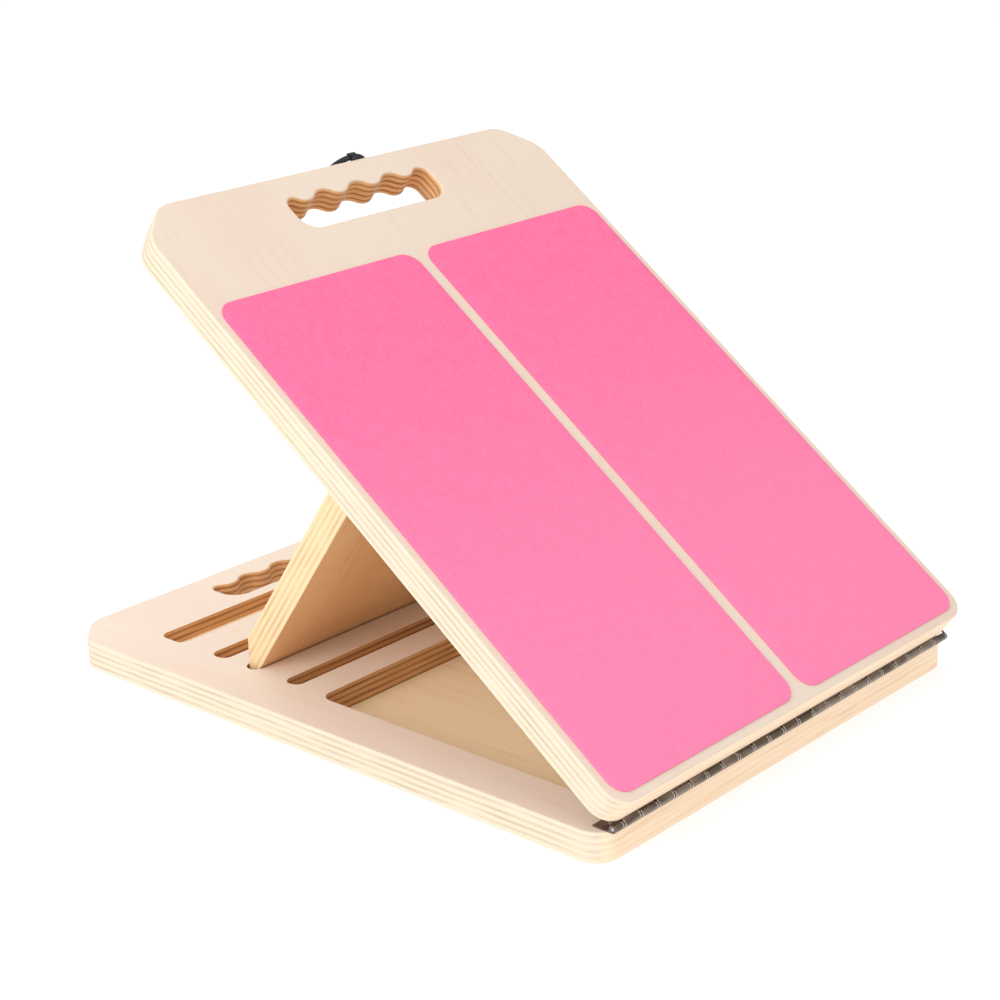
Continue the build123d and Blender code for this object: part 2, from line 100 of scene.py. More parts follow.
# %% Camera
CAMERA_PLACE = Vector((-0.947252, -0.868452, 0.561844))
LOOK = Vector((0.69630518, 0.63473203, -0.33507365))
ROLL = radians(-1.7821)
LENS = 81.656
SENSOR_WIDTH = 36.0

camera_data = bpy.data.cameras.new("catalogue_camera")
camera_data.sensor_width = SENSOR_WIDTH
camera_data.lens = LENS
camera = bpy.data.objects.new("catalogue_camera", camera_data)
bpy.context.scene.collection.objects.link(camera)
level_right = LOOK.cross(Vector((0, 0, 1))).normalized()
level_up = level_right.cross(LOOK)
right = cos(ROLL) * level_right + sin(ROLL) * level_up
up = cos(ROLL) * level_up - sin(ROLL) * level_right
axes = Matrix((right, up, -LOOK)).transposed()
camera.matrix_world = Matrix.Translation(CAMERA_PLACE) @ axes.to_4x4()
bpy.context.scene.camera = camera
print("camera", LENS, "mm, at", [round(v, 3) for v in CAMERA_PLACE])

# %% [markdown]
# ## Floor and light
#
# A product picture is lit by large soft lamps, because a small lamp throws hard shadows. The main
# panel stands to the left, another hangs above, and two weak warm ones fill in from the front and
# from low on the left, where light gets under the deck. The white world lights everything else. The
# floor is a plain pale surface with a faint glow of its own, which bleaches the shadows on it as a
# lit white sweep does. A ray from the camera sees the world at full white, whatever light it gives.

# %% Floor
FLOOR_HALF = 6.0
FLOOR_GREY = (0.50, 0.50, 0.50, 1)
FLOOR_GLOW = 0.62
FLOOR_ROUGHNESS = 0.9

floor_mesh = bpy.data.meshes.new("floor")
floor_corners = [(-FLOOR_HALF, -FLOOR_HALF, 0), (FLOOR_HALF, -FLOOR_HALF, 0)]
floor_corners += [(FLOOR_HALF, FLOOR_HALF, 0), (-FLOOR_HALF, FLOOR_HALF, 0)]
floor_mesh.from_pydata(floor_corners, [], [(0, 1, 2, 3)])
floor = bpy.data.objects.new("floor", floor_mesh)
bpy.context.scene.collection.objects.link(floor)
floor_material = bpy.data.materials.new("pale_floor")
floor_material.use_nodes = True
floor_shader = floor_material.node_tree.nodes["Principled BSDF"]
floor_shader.inputs["Base Color"].default_value = FLOOR_GREY
floor_shader.inputs["Roughness"].default_value = FLOOR_ROUGHNESS
floor_shader.inputs["Emission Color"].default_value = (1, 1, 1, 1)
floor_shader.inputs["Emission Strength"].default_value = FLOOR_GLOW
floor_mesh.materials.append(floor_material)

# %% Lights
WORLD_STRENGTH = 0.68
OBJECT_MIDDLE = (0, 0, 0.1)
UNDER_THE_DECK = (0, 0.1, 0.03)
WARM = (1.0, 0.94, 0.88)
SLIGHTLY_WARM = (1.0, 0.96, 0.90)


def area_light(name, place, target, size, power, colour=(1, 1, 1)):
    """A square lamp panel at a place, facing a target."""
    data = bpy.data.lights.new(name, "AREA")
    data.shape = "SQUARE"
    data.size = size
    data.energy = power
    data.color = colour
    lamp = bpy.data.objects.new(name, data)
    lamp.location = place
    lamp.rotation_euler = (Vector(target) - Vector(place)).to_track_quat("-Z", "Y").to_euler()
    bpy.context.scene.collection.objects.link(lamp)


area_light("key_panel", (-2.1, 0.0, 1.35), OBJECT_MIDDLE, 1.6, 27)
area_light("top_panel", (0.1, 0.5, 2.6), OBJECT_MIDDLE, 2.0, 19)
area_light("front_panel", (-0.4, -2.3, 0.5), OBJECT_MIDDLE, 1.4, 8, WARM)
area_light("side_panel", (-2.3, 0.05, 0.6), UNDER_THE_DECK, 0.9, 4, SLIGHTLY_WARM)

world = bpy.data.worlds.new("white_studio")
world.use_nodes = True
sky = world.node_tree.nodes["Background"]
sky.inputs["Color"].default_value = (1, 1, 1, 1)
seen = world.node_tree.nodes.new("ShaderNodeLightPath").outputs["Is Camera Ray"]
strength = world.node_tree.nodes.new("ShaderNodeMapRange")
strength.inputs["To Min"].default_value = WORLD_STRENGTH
strength.inputs["To Max"].default_value = 1.0
world.node_tree.links.new(seen, strength.inputs["Value"])
world.node_tree.links.new(strength.outputs["Result"], sky.inputs["Strength"])
bpy.context.scene.world = world
bpy.context.scene.view_settings.view_transform = "Standard"

# %% [markdown]
# ## Small helpers for node groups
#
# An effect that several finishes share is a node group: a little machine with named inputs and
# outputs. Building one means adding nodes and wiring them, so a few helpers keep that short. `wire`
# joins an output to an input, or sets the input if it is given a plain value.


# %% Node helpers
def wire(tree, source, target):
    """Links a socket to an input, or sets the input to a plain value."""
    if isinstance(source, bpy.types.NodeSocket):
        tree.links.new(source, target)
    else:
        target.default_value = source


def math_node(tree, operation, first, second=0.0, third=0.0):
    """One Math node, and its result's socket."""
    node = tree.nodes.new("ShaderNodeMath")
    node.operation = operation
    for value, socket in zip((first, second, third), node.inputs):
        wire(tree, value, socket)
    return node.outputs[0]


def times(tree, first, second):
    """The product of two values."""
    return math_node(tree, "MULTIPLY", first, second)


def minus(tree, first, second):
    """The first value less the second."""
    return math_node(tree, "SUBTRACT", first, second)


def ramp(tree, value, low, high, start=0.0, end=1.0):
    """A smooth step: start below low, end above high."""
    node = tree.nodes.new("ShaderNodeMapRange")
    node.interpolation_type = "SMOOTHSTEP"
    limits = (("From Min", low), ("From Max", high), ("To Min", start), ("To Max", end))
    for name, source in (("Value", value), *limits):
        wire(tree, source, node.inputs[name])
    return node.outputs["Result"]


def mix_colours(tree, share, first, second):
    """Mixes two colours by a share between 0 and 1."""
    node = tree.nodes.new("ShaderNodeMix")
    node.data_type = "RGBA"
    wire(tree, share, node.inputs["Factor"])
    colour_inputs = [s for s in node.inputs if s.type == "RGBA"]
    wire(tree, first, colour_inputs[0])
    wire(tree, second, colour_inputs[1])
    return [s for s in node.outputs if s.type == "RGBA"][0]


def noise(tree, vector, scale, detail=2.0, roughness=0.5):
    """A noise texture's value, from 0 to 1."""
    node = tree.nodes.new("ShaderNodeTexNoise")
    wire(tree, vector, node.inputs["Vector"])
    node.inputs["Scale"].default_value = scale
    node.inputs["Detail"].default_value = detail
    node.inputs["Roughness"].default_value = roughness
    return node.outputs["Fac"]


def stretched(tree, vector, scale):
    """A vector multiplied by a scale for each direction."""
    node = tree.nodes.new("ShaderNodeVectorMath")
    node.operation = "MULTIPLY"
    wire(tree, vector, node.inputs[0])
    node.inputs[1].default_value = scale
    return node.outputs["Vector"]


def split(tree, vector):
    """A vector's three parts."""
    node = tree.nodes.new("ShaderNodeSeparateXYZ")
    wire(tree, vector, node.inputs[0])
    return node.outputs


def new_group(name, inputs, outputs):
    """An empty node group with named sockets, and its input and output nodes."""
    tree = bpy.data.node_groups.new(name, "ShaderNodeTree")
    for socket, kind, default in inputs:
        made = tree.interface.new_socket(socket, in_out="INPUT", socket_type=kind)
        if default is not None:
            made.default_value = default
    for socket, kind in outputs:
        tree.interface.new_socket(socket, in_out="OUTPUT", socket_type=kind)
    return tree, tree.nodes.new("NodeGroupInput"), tree.nodes.new("NodeGroupOutput")


def place_group(tree, group, **values):
    """Puts a node group in a material and sets or links its inputs, given in snake case."""
    node = tree.nodes.new("ShaderNodeGroup")
    node.node_tree = group
    for name, value in values.items():
        wire(tree, value, node.inputs[name.replace("_", " ").capitalize()])
    return node


def roughen(tree, shader, height, strength, distance):
    """Feeds a height to the shader's normal through a Bump node."""
    bump = tree.nodes.new("ShaderNodeBump")
    bump.inputs["Strength"].default_value = strength
    bump.inputs["Distance"].default_value = distance
    wire(tree, height, bump.inputs["Height"])
    wire(tree, bump.outputs["Normal"], shader.inputs["Normal"])


def new_material(name):
    """A material, its node tree and its shader."""
    material = bpy.data.materials.new(name)
    material.use_nodes = True
    tree = material.node_tree
    return material, tree, tree.nodes["Principled BSDF"]


# %% [markdown]
# ## Plywood edge
#
# Plywood is thin sheets of birch glued with their grain crossed. From the side, every second sheet
# shows its end grain and looks darker, so the edge is striped. The depth under the face says which
# sheet we're in: the depth divided by the pitch of two sheets, and its fractional part taken from
# the middle of a dark sheet. Noise bends the stripes, slowly and finely, because real sheets vary.
# The boards' front and rear ends are cut across the outer sheets, so they show long soft streaks
# rather than even stripes, and those are noise that hardly changes along the edge.

# %% Group: plywood edge
PLY_PITCH = 0.00387
FIRST_DARK_PLY = 0.0029
FINE_WAVINESS = 0.00022
SLOW_BENDS = (14, 14, 3)
FINE_BENDS = (160, 160, 90)
SHEET_TONES = (25, 25, 520)
END_STREAKS = (11, 11, 330)
END_STREAK_RANGE = (0.46, 0.72)
DARK_HALF = (0.13, 0.25)
GLUE_PLACE = 0.235
GLUE_HALF = (0.012, 0.035)

ply_group, source, sink = new_group(
    "plywood_edge",
    [("Place", "NodeSocketVector", None), ("Waviness", "NodeSocketFloat", 0.00035)],
    [
        ("Dark ply", "NodeSocketFloat"),
        ("Glue line", "NodeSocketFloat"),
        ("Layer tone", "NodeSocketFloat"),
        ("End streak", "NodeSocketFloat"),
    ],
)
place = source.outputs["Place"]
height = split(ply_group, place)["Z"]
bend = minus(ply_group, noise(ply_group, stretched(ply_group, place, SLOW_BENDS), 1.0), 0.5)
fine_bend = minus(ply_group, noise(ply_group, stretched(ply_group, place, FINE_BENDS), 1.0), 0.5)
bent = math_node(ply_group, "MULTIPLY_ADD", bend, source.outputs["Waviness"], height)
bent = math_node(ply_group, "MULTIPLY_ADD", fine_bend, FINE_WAVINESS, bent)
depth = minus(ply_group, BOARD_THICKNESS, bent)
turns = math_node(ply_group, "DIVIDE", minus(ply_group, depth, FIRST_DARK_PLY), PLY_PITCH)
fraction = math_node(ply_group, "FRACT", math_node(ply_group, "ADD", turns, 0.5))
distance = math_node(ply_group, "ABSOLUTE", minus(ply_group, fraction, 0.5))
dark = ramp(ply_group, distance, *DARK_HALF, 1.0, 0.0)
from_glue = math_node(ply_group, "ABSOLUTE", minus(ply_group, distance, GLUE_PLACE))
glue = ramp(ply_group, from_glue, *GLUE_HALF, 1.0, 0.0)
tone = noise(ply_group, stretched(ply_group, place, SHEET_TONES), 1.0, 3.0)
wire(ply_group, dark, sink.inputs["Dark ply"])
wire(ply_group, glue, sink.inputs["Glue line"])
wire(ply_group, tone, sink.inputs["Layer tone"])
end_noise = noise(ply_group, stretched(ply_group, place, END_STREAKS), 1.0, 3.0, 0.6)
end_streak = ramp(ply_group, end_noise, *END_STREAK_RANGE)
wire(ply_group, end_streak, sink.inputs["End streak"])
print(ply_group.name, "has", len(ply_group.nodes), "nodes")

# %% [markdown]
# ## Wood grain
#
# Birch is pale and quiet: long soft streaks, a few faint pores, and broad patches where the veneer
# turns a little pink or cream. The streaks are noise stretched along the grain, the patches are the
# same noise hardly stretched, and the pores are very fine noise cut off near its top.

# %% Group: birch grain
GRAIN_SWIRLS = (9, 2.2, 9)
SWIRL_REACH = (0.03, 0.0, 0.03)
STREAKS = (240, 7, 240)
PATCHES = (12, 5, 12)
PORES = (1500, 130, 1500)
PORE_RANGE = (0.66, 0.78)
PORE_DEPTH = 0.5

grain_group, source, sink = new_group(
    "birch_grain",
    [("Place", "NodeSocketVector", None)],
    [
        ("Streak", "NodeSocketFloat"),
        ("Patch", "NodeSocketFloat"),
        ("Pore", "NodeSocketFloat"),
        ("Relief", "NodeSocketFloat"),
    ],
)
place = source.outputs["Place"]
warp = noise(grain_group, stretched(grain_group, place, GRAIN_SWIRLS), 1.0, 2.0)
swirl = grain_group.nodes.new("ShaderNodeVectorMath")
swirl.operation = "MULTIPLY_ADD"
wire(grain_group, warp, swirl.inputs[0])
swirl.inputs[1].default_value = SWIRL_REACH
wire(grain_group, place, swirl.inputs[2])
streak = noise(grain_group, stretched(grain_group, swirl.outputs["Vector"], STREAKS), 1.0, 4.0, 0.6)
patch = noise(grain_group, stretched(grain_group, place, PATCHES), 1.0, 2.0)
specks = noise(grain_group, stretched(grain_group, place, PORES), 1.0, 1.0)
pore = ramp(grain_group, specks, *PORE_RANGE)
relief = minus(grain_group, streak, times(grain_group, pore, PORE_DEPTH))
wire(grain_group, streak, sink.inputs["Streak"])
wire(grain_group, patch, sink.inputs["Patch"])
wire(grain_group, pore, sink.inputs["Pore"])
wire(grain_group, relief, sink.inputs["Relief"])
print(grain_group.name, "has", len(grain_group.nodes), "nodes")

# %% [markdown]
# ## Inside a box
#
# The router that cut the pocket, the slots and the hand grips has scorched their walls brown. To
# find those walls we ask whether a point is inside a box: for each direction, the distance from the
# box's middle less its half size, and the largest of the three is below zero inside.

# %% Group: inside a box
BOX_FADE = 0.0006

box_group, source, sink = new_group(
    "inside_box",
    [
        ("Place", "NodeSocketVector", None),
        ("Middle", "NodeSocketVector", None),
        ("Half size", "NodeSocketVector", None),
    ],
    [("Inside", "NodeSocketFloat")],
)
offset = box_group.nodes.new("ShaderNodeVectorMath")
offset.operation = "SUBTRACT"
wire(box_group, source.outputs["Place"], offset.inputs[0])
wire(box_group, source.outputs["Middle"], offset.inputs[1])
size = box_group.nodes.new("ShaderNodeVectorMath")
size.operation = "ABSOLUTE"
wire(box_group, offset.outputs["Vector"], size.inputs[0])
beyond = box_group.nodes.new("ShaderNodeVectorMath")
beyond.operation = "SUBTRACT"
wire(box_group, size.outputs["Vector"], beyond.inputs[0])
wire(box_group, source.outputs["Half size"], beyond.inputs[1])
parts = split(box_group, beyond.outputs["Vector"])
furthest = math_node(box_group, "MAXIMUM", parts["X"], parts["Y"])
furthest = math_node(box_group, "MAXIMUM", furthest, parts["Z"])
wire(box_group, ramp(box_group, furthest, -BOX_FADE, BOX_FADE, 1.0, 0.0), sink.inputs["Inside"])
print(box_group.name, "has", len(box_group.nodes), "nodes")

# %% [markdown]
# ## Birch plywood
#
# One recipe makes all three boards. The place in the board's own directions comes from a Mapping
# node that undoes the board's place and slope. The object-space normal, turned the same way, tells
# a face from a side edge and a side edge from an end. Faces get the grain, side edges the stripes,
# ends the streaks, and cut walls are scorched, with deep brown on the end-grain sheets and orange
# between them. The deck is pale birch, and the base is the same birch with its face painted lighter,
# as painted light on its top. The prop panel's warm orange is painted shade, the bounced light under
# the deck. The ends are painted bright, as painted light from the front, and the floors of the
# pocket and slots a bright orange, as painted light that reaches under the deck.
# Each birch is a few colours: its face light, pinkish and streaked, and its edges light and dark.

# %% Plywood finish
PALE_BIRCH = {
    "face": ((0.775, 0.645, 0.53, 1), (0.775, 0.61, 0.50, 1), (0.69, 0.52, 0.39, 1)),
    "edge": ((0.76, 0.66, 0.51, 1), (0.57, 0.455, 0.325, 1)),
    # The ends are painted nearly white: painted light from the front, which the lamps give too weakly.
    "end": ((0.97, 0.76, 0.55, 1), (0.86, 0.60, 0.39, 1)),
}
# The base is the pale birch with its face painted lighter: painted light on the base's top, also under the
# deck.
BASE_BIRCH_PAINTED_LIGHT = {
    **PALE_BIRCH,
    "face": ((0.85, 0.725, 0.61, 1), (0.85, 0.70, 0.585, 1), (0.77, 0.61, 0.48, 1)),
}
# The prop panel's orange on its faces, edges and ends is painted shade: the warm bounced light under the
# deck.
PROP_BIRCH_PAINTED_SHADE = {
    "face": ((0.90, 0.55, 0.28, 1), (0.86, 0.49, 0.24, 1), (0.66, 0.32, 0.13, 1)),
    "edge": ((0.88, 0.64, 0.38, 1), (0.60, 0.40, 0.22, 1)),
    "end": ((0.90, 0.60, 0.34, 1), (0.62, 0.38, 0.20, 1)),
}
GLUE_BROWN = (0.40, 0.27, 0.16, 1)
SCORCH_LIGHT = (0.76, 0.43, 0.19, 1)
SCORCH_DARK = (0.30, 0.115, 0.035, 1)
# The floors of the pocket and slots are painted a bright orange: painted light that reaches under the deck.
CUT_FLOOR_PAINTED_LIGHT = (1.0, 0.82, 0.55, 1)
CUT_FLOOR_STREAK_PAINTED_LIGHT = (0.88, 0.55, 0.29, 1)
FACE_TURN = (0.55, 0.93)
END_TURN = (0.60, 0.95)
PINK_PATCH = (0.40, 0.66)
STREAK_RANGE = (0.50, 0.80)
STREAK_SHARE = 0.42
PORE_SHARE = 0.22
SHEET_TONE_RANGE = (0.3, 0.7)
SHEET_TONE_SHARES = (0.15, 0.95)
GLUE_TONE_RANGE = (0.35, 0.62)
GLUE_TONE_SHARES = (0.10, 0.55)
END_STREAK_SHARE = 0.85
END_PLY_SHARE = 0.22
SCORCH_RANGE = (0.30, 0.75)
SCORCH_TONE_SHARE = 0.35
SCORCH_PLY_SHARE = 0.65
FLOOR_TOP = BOARD_THICKNESS - 0.0022
FLOOR_EDGE = 0.0008
GLOSS_RANGE = (0.3, 0.8)
WOOD_ROUGHNESS = (0.46, 0.62)
WOOD_SPECULAR = 0.35
WOOD_BUMP = 0.35
WOOD_RELIEF = 0.00012


def plywood(name, board, birch, cuts, floors=True):
    """Birch plywood for one board, scorched inside its cuts, which are boxes in the board's frame."""
    face_light, face_pink, face_dark = birch["face"]
    edge_light, edge_dark = birch["edge"]
    end_pale_painted_light, end_streak_painted_light = birch["end"]
    origin, slope = BOARD_FRAMES[board]
    material, tree, shader = new_material(name)
    coordinates = tree.nodes.new("ShaderNodeTexCoord")
    mapping = tree.nodes.new("ShaderNodeMapping")
    mapping.vector_type = "TEXTURE"
    mapping.inputs["Location"].default_value = origin
    mapping.inputs["Rotation"].default_value = (slope, 0, 0)
    wire(tree, coordinates.outputs["Object"], mapping.inputs["Vector"])
    place = mapping.outputs["Vector"]
    turned = tree.nodes.new("ShaderNodeMapping")
    turned.vector_type = "TEXTURE"
    turned.inputs["Rotation"].default_value = (slope, 0, 0)
    wire(tree, coordinates.outputs["Normal"], turned.inputs["Vector"])
    facing = split(tree, turned.outputs["Vector"])
    face = ramp(tree, math_node(tree, "ABSOLUTE", facing["Z"]), *FACE_TURN)
    end = ramp(tree, math_node(tree, "ABSOLUTE", facing["Y"]), *END_TURN)

    grain = place_group(tree, grain_group, place=place)
    edge = place_group(tree, ply_group, place=place)

    pinkish = ramp(tree, grain.outputs["Patch"], *PINK_PATCH)
    face_colour = mix_colours(tree, pinkish, face_light, face_pink)
    streaks = ramp(tree, grain.outputs["Streak"], *STREAK_RANGE, 0.0, STREAK_SHARE)
    face_colour = mix_colours(tree, streaks, face_colour, face_dark)
    pores = times(tree, grain.outputs["Pore"], PORE_SHARE)
    face_colour = mix_colours(tree, pores, face_colour, edge_dark)

    sheet_tone = ramp(tree, edge.outputs["Layer tone"], *SHEET_TONE_RANGE, *SHEET_TONE_SHARES)
    dark_share = times(tree, edge.outputs["Dark ply"], sheet_tone)
    edge_colour = mix_colours(tree, dark_share, edge_light, edge_dark)
    glue_tone = ramp(tree, edge.outputs["Layer tone"], *GLUE_TONE_RANGE, *GLUE_TONE_SHARES)
    glue_share = times(tree, edge.outputs["Glue line"], glue_tone)
    edge_colour = mix_colours(tree, glue_share, edge_colour, GLUE_BROWN)
    end_share = times(tree, edge.outputs["End streak"], END_STREAK_SHARE)
    end_share = math_node(tree, "MULTIPLY_ADD", edge.outputs["Dark ply"], END_PLY_SHARE, end_share)
    # The end colours carry painted light from the front.
    end_colour_painted_light = mix_colours(tree, end_share, end_pale_painted_light, end_streak_painted_light)
    edge_colour = mix_colours(tree, end, edge_colour, end_colour_painted_light)

    scorch_share = ramp(tree, edge.outputs["Layer tone"], *SCORCH_RANGE, 0.0, SCORCH_TONE_SHARE)
    scorch_share = math_node(tree, "MULTIPLY_ADD", edge.outputs["Dark ply"], SCORCH_PLY_SHARE, scorch_share)
    scorch = mix_colours(tree, scorch_share, SCORCH_LIGHT, SCORCH_DARK)
    cut = None
    for middle, half in cuts:
        box = place_group(tree, box_group, place=place, middle=middle, half_size=half)
        inside = box.outputs["Inside"]
        cut = inside if cut is None else math_node(tree, "MAXIMUM", cut, inside)
    if cut is not None:
        edge_colour = mix_colours(tree, cut, edge_colour, scorch)
    if cut is not None and floors:
        # Painted light: the floors of the pocket and slots get a bright orange that stands in for the light
        # under the deck.
        sunk = ramp(tree, split(tree, place)["Z"], FLOOR_TOP - FLOOR_EDGE, FLOOR_TOP, 1.0, 0.0)
        floor_share = times(tree, cut, sunk)
        floor_colour_painted_light = mix_colours(tree, streaks, CUT_FLOOR_PAINTED_LIGHT, CUT_FLOOR_STREAK_PAINTED_LIGHT)
        face_colour = mix_colours(tree, floor_share, face_colour, floor_colour_painted_light)

    colour = mix_colours(tree, face, edge_colour, face_colour)
    wire(tree, colour, shader.inputs["Base Color"])
    rough = ramp(tree, grain.outputs["Streak"], *GLOSS_RANGE, *WOOD_ROUGHNESS)
    wire(tree, rough, shader.inputs["Roughness"])
    shader.inputs["Specular IOR Level"].default_value = WOOD_SPECULAR
    ridges = times(tree, edge.outputs["Glue line"], minus(tree, 1.0, face))
    relief = minus(tree, grain.outputs["Relief"], ridges)
    roughen(tree, shader, relief, WOOD_BUMP, WOOD_RELIEF)
    return material


# %% [markdown]
# ## Where the router has been
#
# The pocket and the four slots share one long box on the base, a little wider than they are and
# open at the top. Each hand grip has a box of its own that goes right through its board. The prop
# panel has only been sawn, so it isn't scorched.

# %% Plywood on the three boards
HALF_BOARD = BOARD_THICKNESS / 2
GRIP_CUT = ((0, 0.406, HALF_BOARD), (0.0622, 0.0162, 0.012))
BASE_CUT = ((0, 0.2105, HALF_BOARD), (0.1345, 0.1735, 0.012))
board_cuts = {"base_board": [BASE_CUT, GRIP_CUT], "deck_board": [GRIP_CUT], "prop_panel": []}
board_birch = {"base_board": BASE_BIRCH_PAINTED_LIGHT, "deck_board": PALE_BIRCH, "prop_panel": PROP_BIRCH_PAINTED_SHADE}


def dress(node, material):
    """Gives a CAD node one material."""
    mesh = frame["nodes"][node].data
    mesh.materials.clear()
    mesh.materials.append(material)


for board, cuts in board_cuts.items():
    has_pocket = board == "base_board"
    dress(board, plywood("plywood_" + board, board, board_birch[board], cuts, floors=has_pocket))
print("plywood on", sorted(board_cuts))

# %% [markdown]
# ## Tarnished hinge metal
#
# Piano hinge is rolled from steel strip and plated, and this one has an antique nickel colour. It is
# a metal, so its base colour is its reflection. Cloudy noise moves the colour between grey and a
# warm brown, and fine scratches along the hinge make the gloss uneven. The knuckles meet at every
# pitch along the hinge: the place along it, divided by the pitch, says how near the next joint is.
# The joint is painted dark, as painted shade in the gap, and beside it the knuckle's rim is painted
# bright, as a painted highlight. Both are kept to the barrel by the distance from the pin, so that
# the flat of a leaf stays plain.

# %% Group: worn metal
METAL_CLOUDS = (38, 110, 110)
METAL_SCRATCHES = (220, 3800, 3800)
DULL_RANGE = (0.38, 0.66)
SCRATCH_RANGE = (0.25, 0.8)
METAL_ROUGHNESS = (0.34, 0.46)
KNUCKLE_PITCH = 0.014
GAP_SHADE_NEARNESS = (0.462, 0.478)
HIGHLIGHT_NEARNESS = (0.405, 0.425)
BARREL_EDGE = (0.0002, 0.0006)
# Painted highlight: the knuckle rims are painted bright, standing in for the highlight on each knuckle's
# end.
RIM_PAINTED_HIGHLIGHT = (0.56, 0.50, 0.46, 1)
# Painted shade: the joints are painted near black, standing in for the shade in each knuckle gap.
JOINT_GAP_PAINTED_SHADE = (0.015, 0.011, 0.008, 1)

metal_group, source, sink = new_group(
    "worn_metal_and_painted_joints",
    [
        ("Place", "NodeSocketVector", None),
        ("Bright", "NodeSocketColor", None),
        ("Dull", "NodeSocketColor", None),
        ("Pin place", "NodeSocketVector", None),
        ("First joint", "NodeSocketFloat", 0.0),
        ("Joint wear", "NodeSocketFloat", 0.0),
    ],
    [("Colour", "NodeSocketColor"), ("Roughness", "NodeSocketFloat"), ("Relief", "NodeSocketFloat")],
)
place = source.outputs["Place"]
cloud = noise(metal_group, stretched(metal_group, place, METAL_CLOUDS), 1.0, 2.0)
scratch = noise(metal_group, stretched(metal_group, place, METAL_SCRATCHES), 1.0, 2.0)
dullness = ramp(metal_group, cloud, *DULL_RANGE)
colour = mix_colours(metal_group, dullness, source.outputs["Bright"], source.outputs["Dull"])
along = minus(metal_group, split(metal_group, place)["X"], source.outputs["First joint"])
joint = math_node(metal_group, "FRACT", math_node(metal_group, "DIVIDE", along, KNUCKLE_PITCH))
nearness = math_node(metal_group, "ABSOLUTE", minus(metal_group, joint, 0.5))
# Painted shade fills each knuckle gap.
gap_shade = ramp(metal_group, nearness, *GAP_SHADE_NEARNESS)
# A painted highlight on each knuckle's rim beside the gap.
rim_highlight = times(metal_group, ramp(metal_group, nearness, *HIGHLIGHT_NEARNESS), minus(metal_group, 1.0, gap_shade))
from_pin = metal_group.nodes.new("ShaderNodeVectorMath")
from_pin.operation = "SUBTRACT"
wire(metal_group, place, from_pin.inputs[0])
wire(metal_group, source.outputs["Pin place"], from_pin.inputs[1])
radius = metal_group.nodes.new("ShaderNodeVectorMath")
radius.operation = "LENGTH"
wire(metal_group, stretched(metal_group, from_pin.outputs["Vector"], (0, 1, 1)), radius.inputs[0])
beyond_barrel = minus(metal_group, radius.outputs["Value"], BARREL_RADIUS)
on_barrel = ramp(metal_group, beyond_barrel, *BARREL_EDGE, 1.0, 0.0)
# The painted light at the joints, kept to the barrel.
wear = times(metal_group, on_barrel, source.outputs["Joint wear"])
colour = mix_colours(metal_group, times(metal_group, rim_highlight, wear), colour, RIM_PAINTED_HIGHLIGHT)
colour = mix_colours(metal_group, times(metal_group, gap_shade, wear), colour, JOINT_GAP_PAINTED_SHADE)
roughness = ramp(metal_group, scratch, *SCRATCH_RANGE, *METAL_ROUGHNESS)
wire(metal_group, colour, sink.inputs["Colour"])
wire(metal_group, roughness, sink.inputs["Roughness"])
wire(metal_group, scratch, sink.inputs["Relief"])


# %% Metals
METAL_BUMP = 0.2
METAL_RELIEF = 0.00003
NICKEL = ((0.27, 0.225, 0.19, 1), (0.13, 0.10, 0.08, 1))
PIN_STEEL = ((0.62, 0.61, 0.60, 1), (0.36, 0.34, 0.32, 1))
SCREW_STEEL = ((0.66, 0.65, 0.63, 1), (0.42, 0.40, 0.38, 1))
MAIN_FIRST_JOINT = -0.1504
PROP_FIRST_JOINT = -0.105


def worn_metal_and_painted_joints(name, bright, dull, pin=(0, 0, 0), first_joint=0.0, joint_wear=0.0):
    """A plated or plain steel with clouds and fine scratches, and on a hinge a painted highlight on the
    knuckle rims and painted shade in the joints.
    """
    material, tree, shader = new_material(name)
    coordinates = tree.nodes.new("ShaderNodeTexCoord")
    metal = place_group(
        tree,
        metal_group,
        place=coordinates.outputs["Object"],
        bright=bright,
        dull=dull,
        pin_place=pin,
        first_joint=first_joint,
        joint_wear=joint_wear,
    )
    wire(tree, metal.outputs["Colour"], shader.inputs["Base Color"])
    wire(tree, metal.outputs["Roughness"], shader.inputs["Roughness"])
    shader.inputs["Metallic"].default_value = 1.0
    roughen(tree, shader, metal.outputs["Relief"], METAL_BUMP, METAL_RELIEF)
    return material


main_nickel = worn_metal_and_painted_joints("antique_nickel", *NICKEL, HINGE_LINE, MAIN_FIRST_JOINT, 1.0)
prop_nickel = worn_metal_and_painted_joints("antique_nickel_under_deck", *NICKEL, PROP_LINE, PROP_FIRST_JOINT, 1.0)
pin_steel = worn_metal_and_painted_joints("pin_steel", *PIN_STEEL)
screw_steel = worn_metal_and_painted_joints("screw_steel", *SCREW_STEEL)
for node in frame["nodes"]:
    if node.endswith("_leaf"):
        dress(node, main_nickel if node.startswith("main") else prop_nickel)
    elif node.endswith("_pin"):
        dress(node, pin_steel)
    elif node.endswith("_screws") or node == "closing_stud":
        dress(node, screw_steel)

# %% [markdown]
# ## Rubber ring and black steel hanger
#
# The ring that holds the board shut is black rubber: dull, with a faint bloom of dust. Its hanger is
# a small strip of steel with black paint, a little glossier.

# %% Blacks
CLOUD_SCALE = 320.0
DUST_RANGE = (0.48, 0.72)
CLOUD_RANGE = (0.3, 0.7)
GLOSS_BELOW = 0.06
GLOSS_ABOVE = 0.08
PEBBLE_SCALE = 2600.0
PEBBLE_BUMP = 0.3
RUBBER_BLACK = (0.008, 0.008, 0.008, 1)
RUBBER_DUST = (0.035, 0.034, 0.032, 1)
PAINT_BLACK = (0.010, 0.010, 0.010, 1)
PAINT_DUST = (0.03, 0.03, 0.03, 1)


